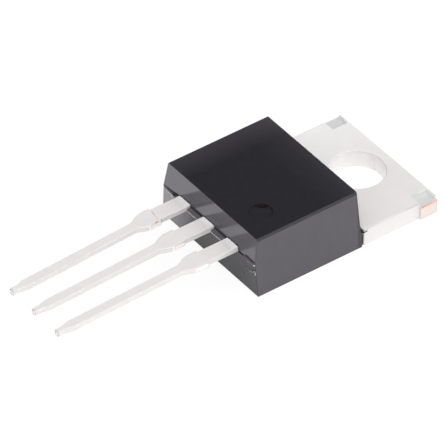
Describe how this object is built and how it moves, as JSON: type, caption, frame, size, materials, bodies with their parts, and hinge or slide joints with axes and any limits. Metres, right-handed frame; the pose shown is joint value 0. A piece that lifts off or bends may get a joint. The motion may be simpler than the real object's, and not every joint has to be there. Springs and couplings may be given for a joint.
{
  "type": "power transistor",
  "caption": "Power transistor in a flat through-hole package: black moulded body, tin-plated copper tab with a screw hole, and straight pins in a row.",
  "frame": {"origin": "centre of the mounting hole on the metal back plane", "axes": "+Y towards the free end of the tab, so the leads run along -Y; +Z out of the back plane, up through the moulded body; +X towards the emitter lead"},
  "size_m": [0.0104, 0.0286, 0.0045],
  "materials": {
    "tinned_copper": "satin",
    "epoxy": "matte",
    "solder": "satin",
    "silicon": "gloss",
    "bond_aluminium": "satin"
  },
  "bodies": {
    "root": {"collector_frame": "tinned_copper", "base_lead": "tinned_copper", "emitter_lead": "tinned_copper", "die_solder": "solder", "die": "silicon", "base_wire": "bond_aluminium", "emitter_wire": "bond_aluminium", "moulded_body": "epoxy"}
  },
  "joints": []
}
